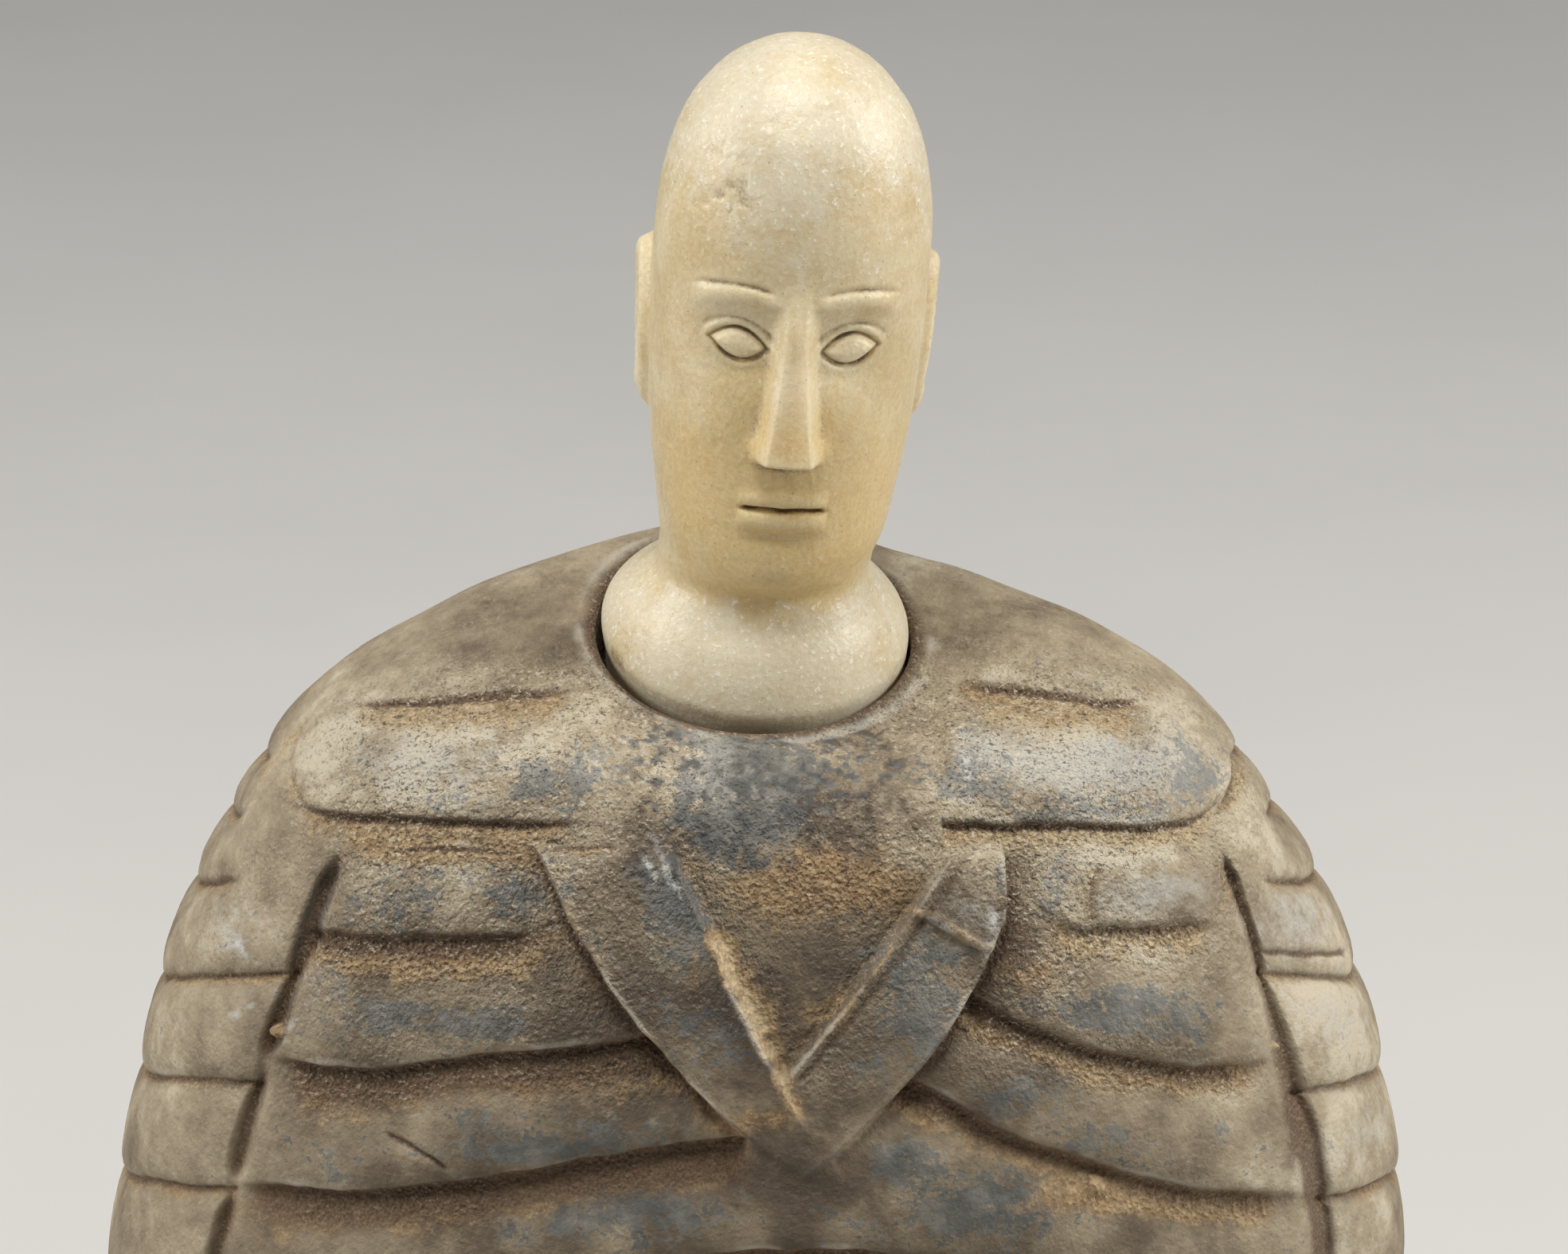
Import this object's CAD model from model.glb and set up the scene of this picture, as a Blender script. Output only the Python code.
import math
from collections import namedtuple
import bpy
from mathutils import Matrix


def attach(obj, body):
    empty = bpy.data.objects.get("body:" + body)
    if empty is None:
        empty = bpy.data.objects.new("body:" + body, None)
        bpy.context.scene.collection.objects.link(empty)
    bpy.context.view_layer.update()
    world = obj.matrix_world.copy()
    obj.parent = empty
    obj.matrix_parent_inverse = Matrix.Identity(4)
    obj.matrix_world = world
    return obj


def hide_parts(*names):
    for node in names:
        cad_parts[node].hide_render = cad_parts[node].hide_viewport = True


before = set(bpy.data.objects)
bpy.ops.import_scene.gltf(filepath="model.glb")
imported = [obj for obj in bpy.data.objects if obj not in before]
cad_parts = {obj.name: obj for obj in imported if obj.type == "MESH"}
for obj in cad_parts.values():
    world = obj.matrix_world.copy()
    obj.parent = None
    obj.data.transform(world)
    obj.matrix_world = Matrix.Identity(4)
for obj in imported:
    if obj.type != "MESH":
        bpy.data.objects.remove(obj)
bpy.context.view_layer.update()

# Dressed model of a composite stone idol: a robed body of dark stone under a tan burial crust, and a head
# of pale translucent stone in its socket. Lengths are in millimetres until a mesh is made.
from types import SimpleNamespace

import bpy
import numpy as np
from mathutils import Vector

MM = 0.001

# The body's form, as in the solids.
SOCKET_Z = 94.0
SOCKET_TILT = math.radians(16)
RIM_RADIUS = 15.0
HALF_WIDTH = 57.0
FRONT_DEPTH = 33.0
BACK_DEPTH = 23.0
PLAN_POWER = 2.6
WIDEST_Z = 30.0
DOME_OUT_POWER = 2.8
DOME_UP_POWER = 1.7
SHOULDER_ROLL = 0.015
SOCKET_ROLL_RUN = 0.2
FOOT_SHARE = 0.95
FOOT_ROUND = 1.0
BASE_HEIGHT = 5.5
BASE_SET_IN = 1.6
LAP_REACH = 11.0
LAP_TOP_Z = 47.0
LAP_FULL_Z = 21.0
LAP_HALF_WIDTH = 44.0
SOCKET_RADIUS = 13.3
SOCKET_FLOOR_RADIUS = 13.1
SOCKET_DEPTH = 6.0
SOCKET_LIP = 0.4
SOCKET_CORNER = 0.6
SOCKET_ROLL = 0.06
SOCKET_WEAR = 0.8
SOCKET_WEAR_TURN = math.radians(-122)
NECK_Y = (FRONT_DEPTH + LAP_REACH - BACK_DEPTH) / 2

# The carving's levels and edges, as in the solids, with softer steps.
FRONT_ANGLE = math.radians(22)
FRONT_LEAN = math.tan(FRONT_ANGLE)
FRONT_SOFTNESS = 4.0
# A flounce's lower edge: points (x, level), the depth of the step under it, how far down the next flounce
# takes to swell out, how its ends fade, how soft it is, and how far down the shade and the sand reach.
Edge = namedtuple("Edge", "points depth run fades blur shade sand")
EDGES = (
    Edge(((-36, -7.0), (-32, -6.6), (-24, -5.9), (-13, -5.4)), 0.8, 4.5, (6, 6), 0.22, 0.35, 3.6),
    Edge(((15.5, -4.6), (24, -5.5), (30, -6.3), (33.5, -6.3)), 0.8, 4.5, (5, 3), 0.22, 0.35, 3.4),
    Edge(((-42, -15.0), (-37, -16.2), (-23, -17.1), (-11.5, -17.2)), 1.3, 6.5, (8, 9), 0.22, 0.5, 4.2),
    Edge(
        ((14.5, -16.9), (30, -17.5), (36.6, -17.0), (40, -14.6), (42, -11.5)),
        1.3, 6.5, (2, 8), 0.22, 0.45, 3.2,
    ),
    Edge(((-31, -19.9), (-25, -19.7), (-19, -19.9)), 0.35, 1.2, (3, 3), 0.2, 0.3, 1.4),
    Edge(((-18.5, -19.7), (-13, -19.4), (-7.5, -20.1)), 0.45, 1.5, (2, 3), 0.2, 0.3, 1.4),
    Edge(((-39, -26.9), (-29, -27.6), (-20, -27.2), (-14.5, -26.4)), 1.4, 7.0, (3, 7), 0.5, 1.9, 4.6),
    Edge(((22.0, -23.0), (24.5, -25.6), (29, -26.6), (41, -26.6)), 1.3, 7.0, (6, 6), 0.6, 0.9, 3.4),
    Edge(
        ((-42, -38.9), (-33, -39.9), (-25.5, -38.7), (-16, -37.5), (-5, -36.2)),
        1.8, 8.5, (5, 2), 0.3, 3.3, 5.4,
    ),
    Edge(
        ((16, -31.0), (19.4, -33.5), (24.5, -36.1), (31.8, -38.6), (38, -39.7), (45, -39.4)),
        1.75, 8.5, (3, 6), 0.5, 1.9, 4.2,
    ),
    Edge(
        ((-46, -50.5), (-36, -50.8), (-25.6, -49.7), (-13, -47.6), (0, -45.2)),
        1.9, 9.0, (7, 2), 0.3, 3.5, 5.6,
    ),
    Edge(
        ((10, -39.4), (14.4, -41.6), (20.5, -44.8), (27.8, -48.1), (36.7, -50.6), (48, -52.2)),
        1.75, 8.5, (3, 7), 0.6, 2.0, 4.2,
    ),
)
ARCH = ((-50, -62.4), (-30, -60.4), (-12, -57.5), (6, -56.1), (20, -57.7), (34, -61.0), (52, -63.6))
ARCH_PITCH = 11.4
ARCH_COUNT = 5
ARCH_EDGE = Edge(ARCH, 1.7, 10.0, None, 0.4, 2.0, 4.0)
# The cape's notches: the level, how far out it starts on the left and on the right, and its depth.
Notch = namedtuple("Notch", "level left right depth")
CAPE_NOTCHES = (
    Notch(-10.6, 38.0, 38.0, 1.2),
    Notch(-15.6, 39.5, 39.5, 1.1),
    Notch(-22.0, 42.0, 41.5, 1.35),
    *(Notch(level, 0.0, 0.0, 1.35) for level in (-31.2, -41.2, -51.0, -61.0, -71.0, -81.0)),
)
# The rounded ends of flounces: side, x at the middle, level, half height, bulge of the middle and depth.
LobeEnd = namedtuple("LobeEnd", "side x level tall bulge depth")
LOBE_ENDS = (
    LobeEnd(1, 40.6, -12.6, 4.6, 2.2, 0.55),
    LobeEnd(1, 34.2, -3.9, 2.6, 1.2, 0.45),
    LobeEnd(1, 39.2, -23.6, 2.8, 1.0, 0.35),
    LobeEnd(-1, 39.0, -12.0, 4.4, 2.0, 0.3),
    LobeEnd(-1, -28.4, -23.7, 2.6, 0.6, 0.5),
)
LOBE_RUN = 2.4
SHOULDER_ROW_END = (45.5, 42.5)
SHOULDER_LEVELS = (-17.0, -23.0)
CAPE_START = 4.5
CAPE_SIDE_SAG = 1.4
CAPE_RIGHT_SAG = 1.3
CAPE_BACK_SAG = 2.0
FULLNESS = 0.8
FULL_SIDE = (43.0, 50.0)
FULL_FROM = (-17.0, -24.0)
FULL_TO = (-64.0, -50.0)
STEP_BLUR = 0.3
ROLL_SHARE = 0.3
ROLL_WIDTH = 1.0
NOTCH_WIDTH = 0.9
PILLOW_WIDTH = 3.2
LIP_UP = 0.4
LIP_WIDTH = 0.6

# A long groove: side, x at its top, spread outwards and its length, half width at its top and low down, its
# depth, and the levels where the flounces' edges pinch it.
Groove = namedtuple("Groove", "side top spread length wide_top wide_low depth pinches")
GROOVES = (
    Groove(-1, 34.5, 22.0, 52.0, 1.35, 1.35, 1.6, (-39.6, -51.0, -61.5, -73)),
    Groove(1, 39.3, 16.8, 48.0, 0.75, 1.8, 1.3, (-63, -74)),
)
GROOVE_TOP = -20.5
GROOVE_WIDENS = (-24.0, -46.0)
GROOVE_PINCH = 0.75
GROOVE_PINCH_TALL = 1.4
GROOVE_ROLL = 0.12
INTO_FRONT = np.array([0, math.cos(FRONT_ANGLE), -math.sin(FRONT_ANGLE)])
LEFT_OUTER = (-16.7, 0.37, 0.016, -22.9)
LEFT_INNER = (-6.3, 0.38, 0.0036, -20.8)
RIGHT_INNER = (13.8, -0.60, -0.0065, -24.1)
RIGHT_OUTER = (19.7, -0.36, -0.019, -28.8)
RIGHT_OUTER_LIMIT = 20.9
LAPEL_TOP = -20.0
LAPEL_FOOT = -49.5
LAPEL_FLATTENS = (-41.5, -47.0)
LAPEL_SOFTNESS = 0.4
LAPEL_RISE = 0.5
LAPEL_RIM = 0.25
LAPEL_RIM_IN = 0.4
LAPEL_DITCH = 1.3
LAPEL_DITCH_WIDTH = 2.2
LAPEL_FOLD = (13.8, -25.6, -0.58)
LAPEL_FLAP = 0.3
LAPEL_UNDER = 0.25
TIE_LEVEL = -36.0
TIE_SLOPE = 0.12
TIE_X = 1.0
CHEST_SINK = 1.1
CHEST_SLOPE = (-15.0, -27.0)
CHEST_EDGE = (-0.5, 0.9)
CHEST_SIDES = (-11.6, 15.7)
CHEST_SIDES_SINK = 0.45

# The head, as in the solids: heights, half width, depth in front of the axis and behind it.
HEAD_SECTIONS = (
    (52.8, 0.0, 0.0, 0.0),
    (52.7, 1.5, 1.6, 1.8),
    (52.45, 2.65, 2.8, 3.15),
    (52.1, 3.65, 3.85, 4.3),
    (51.3, 5.1, 5.35, 6.0),
    (50.2, 6.6, 6.9, 7.8),
    (48.6, 8.05, 8.35, 9.4),
    (46.6, 9.4, 9.7, 11.0),
    (41.5, 11.0, 11.3, 12.9),
    (35.0, 11.5, 11.9, 13.7),
    (28.0, 11.4, 12.0, 13.5),
    (21.0, 11.0, 12.0, 12.4),
    (15.0, 10.2, 11.8, 10.9),
    (11.0, 9.5, 11.4, 9.8),
    (8.6, 9.0, 10.2, 9.1),
    (6.8, 9.1, 8.6, 9.2),
    (5.2, 10.3, 9.4, 10.3),
    (3.6, 11.7, 11.0, 11.7),
    (1.8, 12.75, 12.4, 12.75),
    (0.5, 13.05, 13.0, 13.05),
    (-0.6, 12.95, 12.95, 12.95),
    (-2.0, 12.8, 12.8, 12.8),
    (-4.8, 12.6, 12.6, 12.6),
    (-5.65, 12.0, 12.0, 12.0),
)
HEAD_PLAN_POWER = 2.15
HEAD_FORWARD = 1.2
HEAD_LEAN = math.radians(4.2)
HEAD_YAW = math.radians(3)
HEAD_ASIDE = 0.8
HEAD_PIVOT_Z = 4.0
NECK_TOP = 9.0
CHIN_Z = 6.8
CROWN_Z = 52.8
EYE_Z = (CHIN_Z + CROWN_Z) / 2
BROW_Z = EYE_Z + 4.0
NOSE_FOOT_Z = (BROW_Z + CHIN_Z) / 2
MOUTH_Z = NOSE_FOOT_Z - (NOSE_FOOT_Z - CHIN_Z) / 3
EYE_X = 4.6
EYE_HALF_WIDTH = 2.35
EYE_HALF_HEIGHT = 1.35
NOSE_HEIGHT = 3.1
MOUTH_HALF_WIDTH = 3.7
EAR_TOP_Z = BROW_Z + 1.0
EAR_FOOT_Z = NOSE_FOOT_Z - 1.0
EAR_Y = 1.2
EAR_HALF_DEPTH = 2.9
EAR_REACH = 2.3
CUT_DEPTH = 0.32
# The worn spot on the forehead: x, height over the brows, half width and half height.
WORN_SPOT = (-6.0, 8.0, 2.6, 4.0)

# Mesh density: rings above and below the widest level, spokes, faces kept.
BODY_MESH = (330, 120, 760, 194_000)
HEAD_MESH = (400, 420, 150_000)
# How much closer together the spokes lie at the front, and the rings and spokes that a place is compared
# with to tell how far it is raised.
BODY_CROWDING = 2.2
HEAD_CROWDING = 1.8
BODY_AROUND = (14, 18)
BODY_CLOSE_BY = (4, 5)
HEAD_AROUND = (9, 9)

# The camera of the photograph, in millimetres: what it looks at from the neck's axis, and from how far.
VIEW_TARGET = (2.47, 0.06, 94.16)
VIEW_ELEVATION = math.radians(22)
VIEW_DISTANCE = 600.0
VIEW_WIDTH = 0.0677 * 1969
SENSOR_WIDTH = 36.0

# The stage, in metres: a name, a place and a power in watts for each light.
LIGHTS = (
    ("top_light", (-0.06, -0.16, 0.75), 3.4),
    ("left_light", (-0.62, -0.05, 0.42), 2.7),
    ("right_light", (0.62, -0.05, 0.42), 3.8),
)
LIGHT_SIZE = 0.30
LIGHT_COLOUR = (1.0, 0.98, 0.95)
LIGHT_AIM_Z = 0.09
SKY_COLOUR = (0.95, 0.97, 1.0)
SKY_STRENGTH = 0.1
FLOOR_COLOUR = (0.62, 0.61, 0.59)
FLOOR_HALF = 2.0


def unit(value):
    """Value kept between 0 and 1."""
    return np.clip(value, 0, 1)


def ease(start, end, value):
    """0 at start, 1 at end, smooth between them."""
    t = unit((value - start) / (end - start))
    return t * t * (3 - 2 * t)


def bump(distance, width):
    """1 in the middle, falling off as a bell of that width."""
    return np.exp(-((distance / width) ** 2))


def within(value, low, high, softness):
    """1 between low and high, 0 outside them, and half on each of them."""
    return ease(-softness, softness, value - low) * ease(-softness, softness, high - value)


def lattice(ix, iy, iz, seed):
    """A fixed random number from -1 to 1 for each whole-number place."""
    h = ix * 374761393 + iy * 668265263 + iz * 1440662683 + seed * 974634777
    h = (h ^ (h >> 13)) & 0xFFFFFFFF
    h = (h * 1274126177) & 0xFFFFFFFF
    return ((h ^ (h >> 16)) & 0xFFFF) / 32767.5 - 1


def noise(points, size, seed):
    """Smooth random values from -1 to 1, with humps of about that size in millimetres."""
    p = points / size
    whole = np.floor(p)
    part = p - whole
    part = part * part * (3 - 2 * part)
    i = whole.astype(np.int64)
    total = 0
    for corner in range(8):
        step = np.array([corner & 1, corner >> 1 & 1, corner >> 2 & 1])
        weight = np.prod(np.where(step, part, 1 - part), axis=-1)
        at = i + step
        total = total + weight * lattice(at[..., 0], at[..., 1], at[..., 2], seed)
    return total


def rough(points, size, seed, octaves=3):
    """Noise with ever finer noise added."""
    total = sum(noise(points, size / 2**n, seed + 17 * n) / 2**n for n in range(octaves))
    return total / (2 - 2 ** (1 - octaves))


def curve_through(points, at):
    """A smooth curve through hand-set points, which never overshoots them."""
    x, y = np.array(points, float).T
    run, rise = np.diff(x), np.diff(y) / np.diff(x)
    tangent = np.concatenate([[rise[0]], (rise[1:] + rise[:-1]) / 2, [rise[-1]]])
    tangent[1:-1][rise[1:] * rise[:-1] <= 0] = 0
    limit = 3 * np.minimum(np.abs(np.append(rise, rise[-1])), np.abs(np.insert(rise, 0, rise[0])))
    tangent = np.clip(tangent, -limit, limit)
    at = np.clip(at, x[0], x[-1])
    k = np.clip(np.searchsorted(x, at) - 1, 0, len(run) - 1)
    t = (at - x[k]) / run[k]
    return (
        y[k] * (1 + 2 * t) * (1 - t) ** 2
        + tangent[k] * run[k] * t * (1 - t) ** 2
        + y[k + 1] * t * t * (3 - 2 * t)
        + tangent[k + 1] * run[k] * t * t * (t - 1)
    )


def socket_point(turn, radius, drop):
    """A point of the socket's tilted plane, or drop below it."""
    x = radius * np.cos(turn)
    y = radius * np.sin(turn)
    lean, rise = math.cos(SOCKET_TILT), math.sin(SOCKET_TILT)
    z = SOCKET_Z + y * rise - drop * lean - SOCKET_ROLL * x
    return np.stack([x + 0 * drop, y * lean + drop * rise, z], -1)


def plan_radius(turn):
    """Distance from the axis to the body's widest outline, in plan."""
    depth = np.where(np.sin(turn) < 0, FRONT_DEPTH, BACK_DEPTH)
    across = np.abs(np.cos(turn) / HALF_WIDTH) ** PLAN_POWER
    return (across + np.abs(np.sin(turn) / depth) ** PLAN_POWER) ** (-1 / PLAN_POWER)


def body_form(turn, run):
    """The uncarved body: run is 0 at the socket's rim, 1 at the widest level and 2 at the foot."""
    rim = socket_point(turn, RIM_RADIUS, 0 * turn)
    wide = plan_radius(turn)[..., None] * np.stack([np.cos(turn), np.sin(turn)], -1)
    arc = unit(run) * math.pi / 2
    out = (np.sin(arc) ** (2 / DOME_OUT_POWER))[..., None]
    level = unit(np.cos(arc)) ** (2 / DOME_UP_POWER)
    plan = rim[..., :2] + (wide - rim[..., :2]) * out
    rim_z = rim[..., 2] + SOCKET_ROLL * rim[..., 0] * ease(0, SOCKET_ROLL_RUN, run)
    z = WIDEST_Z + (rim_z - WIDEST_Z) * level
    z = z - SHOULDER_ROLL * plan[..., 0] * np.cos(arc) ** 2
    down = unit(run - 1)
    z = z - WIDEST_Z * down
    narrow = 1 - (1 - FOOT_SHARE) * down**2
    edge = unit(1 - z / FOOT_ROUND)
    narrow = narrow - (1 - np.sqrt(1 - edge**2)) * FOOT_ROUND / HALF_WIDTH
    plan = plan * narrow[..., None]
    lap = LAP_REACH * ease(LAP_TOP_Z, LAP_FULL_Z, z)
    lap = lap * unit(1 - (plan[..., 0] / LAP_HALF_WIDTH) ** 2) ** 2
    plan[..., 1] -= lap * ease(2, -20, plan[..., 1])
    return np.concatenate([plan, z[..., None]], -1)


def level_of(points):
    """Height under the socket on the leaning front, and plain height on the sides and back."""
    y = points[..., 1]
    towards = 0.5 * (y - np.sqrt(y * y + FRONT_SOFTNESS**2))
    return points[..., 2] + FRONT_LEAN * towards - SOCKET_Z


class Carving:
    """What the chisel and the burial did: how far the surface stands out, and marks for the materials."""

    LAYERS = ("out", "shade", "sandy", "lip", "slaty", "bright")

    def __init__(self, shape):
        for layer in self.LAYERS:
            setattr(self, layer, np.zeros(shape))
        self.cut = np.zeros(shape)

    def mark(self, **marks):
        """Raises layers to at least those values."""
        for layer, value in marks.items():
            setattr(self, layer, np.maximum(getattr(self, layer), value))

    def step(self, above, edge, reach=1.0):
        """The step under a flounce's rounded lower edge: above is the height over that edge."""
        up, down = np.clip(above, 0, None), np.clip(-above, 0, None)
        rolled = ROLL_SHARE * np.exp(-up / ROLL_WIDTH)
        recess = unit(1 - down / edge.run) ** 1.6
        self.out -= reach * edge.depth * (rolled + (recess - rolled) * ease(edge.blur, -edge.blur, above))
        shade = ease(edge.shade * 1.55, edge.shade * 0.55, down) * ease(edge.blur + 0.1, -0.1, above)
        sandy = reach * ease(edge.sand * 1.4, edge.sand * 0.2, down) * ease(0.3, -0.3, above)
        self.mark(shade=reach * shade, sandy=sandy, lip=reach * bump(above - LIP_UP, LIP_WIDTH))

    def notch(self, above, depth, reach=1.0):
        """The notch between two pillow-shaped flounces of the cape."""
        up, down = np.clip(above, 0, None), np.clip(-above, 0, None)
        upper = 0.5 * np.exp(-up / NOTCH_WIDTH)
        lower = 0.55 * np.exp(-down / NOTCH_WIDTH) + 0.45 * np.exp(-down / PILLOW_WIDTH)
        self.out -= reach * depth * (upper + (lower - upper) * ease(0.25, -0.25, above))
        shade = 0.75 * reach * np.exp(-down / 0.7) * ease(0.3, -0.1, above)
        sandy = 0.55 * reach * ease(1.8, 0.6, down) * ease(0.3, -0.3, above)
        self.mark(shade=shade, sandy=sandy, lip=reach * bump(above - LIP_UP, LIP_WIDTH))

    def blend(self, other, share):
        """Moves towards other by that share."""
        for layer in self.LAYERS:
            mine = getattr(self, layer)
            setattr(self, layer, mine + (getattr(other, layer) - mine) * share)

    def fade(self, share):
        """Keeps that share."""
        for layer in self.LAYERS:
            setattr(self, layer, getattr(self, layer) * share)


def lapel_edge(edge, level):
    """The x of a lapel's edge at a level."""
    start, slope, bend, top = edge
    drop = top - level
    return start + slope * drop + bend * drop * np.abs(drop)


def groove_x(groove, level):
    """The x of a groove's middle at a level."""
    run = np.clip(GROOVE_TOP - level, -12, None)
    return groove.side * (groove.top + groove.spread * (1 - np.exp(-run / groove.length)))


def groove_cut(groove, level, aside):
    """(depth, roll of its shoulders) of a groove, which is pinched where a flounce's edge meets it."""
    pinch = 1 - GROOVE_PINCH * sum(bump(level - at, GROOVE_PINCH_TALL) for at in groove.pinches)
    width = groove.wide_top + (groove.wide_low - groove.wide_top) * ease(*GROOVE_WIDENS, level)
    reach = ease(GROOVE_TOP + 1.0, GROOVE_TOP - 2.5, level)
    width = width * (0.45 + 0.55 * pinch) * (0.35 + 0.65 * reach)
    cut = ease(width, 0.1 * width, np.abs(aside)) * reach * pinch
    return cut, GROOVE_ROLL * np.exp(-np.clip(np.abs(aside) - width, 0, None)) * reach


def front_rows(x, level):
    """The flounces of the robe's front, between the long grooves."""
    rows = Carving(x.shape)
    for edge in EDGES:
        first, last = edge.points[0][0], edge.points[-1][0]
        reach = ease(first - 0.5, first + edge.fades[0], x) * ease(last + 0.5, last - edge.fades[1], x)
        rows.step(level - curve_through(edge.points, x), edge, reach)
    for n in range(ARCH_COUNT):
        rows.step(level - curve_through(ARCH, x) + n * ARCH_PITCH, ARCH_EDGE)
    for end in LOBE_ENDS:
        up = (level - end.level) / end.tall
        past = end.side * x - end.x + end.bulge * up**2
        reach = ease(1.1, 0.7, np.abs(up))
        sunk = ease(-0.3, 0.3, past) * np.exp(-np.clip(past, 0, None) / LOBE_RUN) * reach
        rows.out -= end.depth * sunk
        shade, lip = 0.8 * end.depth * bump(past - 0.2, 0.4), 1.3 * end.depth * bump(past + 0.5, 0.5)
        rows.mark(sandy=0.9 * sunk, shade=shade * reach, lip=lip * reach)
    return rows


def cape_rows(x, y, level):
    """The plainer flounces of the cape, round the sides and the back."""
    sag = CAPE_BACK_SAG * ease(0, 20, y) * unit(1 - (x / HALF_WIDTH) ** 2)
    sag += CAPE_SIDE_SAG * ease(-18, -2, y) * ease(-42, -30, level)
    sag += CAPE_RIGHT_SAG * ease(-9, -23, y) * ease(10, 20, x) * ease(-34, -38, level)
    rows = Carving(x.shape)
    for n, (at, left, right, depth) in enumerate(CAPE_NOTCHES):
        begins = np.where(x < 0, left, right)
        reach = ease(begins, begins + CAPE_START, np.abs(x))
        if n > 0:
            reach = np.maximum(reach, ease(4, 9, y))
        rows.notch(level + sag - at, depth, reach)
    return rows


def lapels(x, level):
    """(carving, share covered) of the crossed lapels and of the chest between them."""
    left_out, left_in = lapel_edge(LEFT_OUTER, level), lapel_edge(LEFT_INNER, level)
    right_in, right_out = lapel_edge(RIGHT_INNER, level), lapel_edge(RIGHT_OUTER, level)
    right_out = np.minimum(right_out, RIGHT_OUTER_LIMIT)
    over_foot = ease(LAPEL_FOOT - 1.5, LAPEL_FOOT + 2.5, level)
    tall = over_foot * ease(LAPEL_TOP + 1.5, LAPEL_TOP - 1.5, level)
    standing = 1 - ease(*LAPEL_FLATTENS, level)
    crossing = ease(-0.6, 0.6, right_in - left_in)
    in_left = within(x, left_out, left_in, LAPEL_SOFTNESS)
    in_right = within(x, np.maximum(right_in, left_in), right_out, LAPEL_SOFTNESS)
    fold_x, fold_level, fold_slope = LAPEL_FOLD
    under_fold = fold_level + fold_slope * (x - fold_x) - level

    work = Carving(x.shape)
    work.out = in_left * (LAPEL_UNDER + (LAPEL_RISE - LAPEL_UNDER) * standing)
    work.out += in_right * (LAPEL_UNDER + LAPEL_FLAP * ease(0.3, -0.3, under_fold))
    rims = (
        (x - left_out - LAPEL_RIM_IN, 0.1 + 0.9 * standing),
        (x - left_in + LAPEL_RIM_IN, (1 + 0.6 * ease(-32, -27, level)) * (0.1 + 0.9 * standing)),
        (x - right_out + LAPEL_RIM_IN, 1.0),
        (x - right_in - LAPEL_RIM_IN / 2, crossing),
        (under_fold + LAPEL_RIM_IN, 1.3 * in_right),
    )
    for aside, share in rims:
        work.out += LAPEL_RIM * bump(aside, 0.45) * share
        work.mark(lip=bump(aside, 0.35) * share)
    beside = bump(x - right_in - 1.3, 0.5) * crossing
    covered = within(x, left_out, right_out, 0.3)
    outside = np.maximum(left_out - x, x - right_out)
    ditch = np.exp(-np.clip(outside, 0, None) / LAPEL_DITCH_WIDTH) * (1 - covered)
    ditch *= np.where(left_out - x > x - right_out, standing, 0.3 + 0.7 * standing)
    chest = ease(*CHEST_EDGE, x - left_in) * ease(*CHEST_EDGE, right_in - x)
    tie = bump(level - TIE_LEVEL - TIE_SLOPE * (x - TIE_X), 0.35) * chest
    work.out += 0.2 * tie - 0.35 * beside - LAPEL_DITCH * ditch * (0.35 + 0.65 * standing)
    work.shade = np.maximum(ditch * (0.25 + 0.35 * standing), 0.5 * beside)
    ochre_line = within(x, left_in - 0.6, left_in + 1.9 - 1.1 * ease(-33, -41, level), 0.6)
    work.bright = ochre_line * ease(-26.0, -28.5, level) * ease(-45, -40.5, level)
    work.mark(bright=0.8 * bump(under_fold + 0.3, 0.4) * in_right)
    work.mark(bright=0.5 * bump(x - right_in - 0.3, 0.35) * crossing * ease(-24, -27, level))
    work.mark(bright=0.4 * bump(x - left_out - 0.4, 0.35) * standing)
    work.fade(tall)
    work.out -= CHEST_SINK * chest * ease(*CHEST_SLOPE, level) * over_foot
    return work, covered * tall


def chest_sides(x, level):
    """The plain chest over the lapels, lower than the shoulder flounces on each side of it."""
    return within(x, *CHEST_SIDES, 0.5) * ease(-21.5, -18.5, level) * ease(-4, -8, level)


def hand_waver(points):
    """The slow unevenness of a surface rubbed down by hand."""
    x, y, z = np.moveaxis(points, -1, 0)
    wave = np.sin(0.17 * x + 0.9) * np.sin(0.21 * z + 0.4) + 0.6 * np.sin(0.31 * x - 0.23 * z + 0.19 * y)
    return 0.16 * wave + 0.07 * np.sin(0.61 * x + 0.3) * np.sin(0.53 * z - 0.4 * y)


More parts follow.
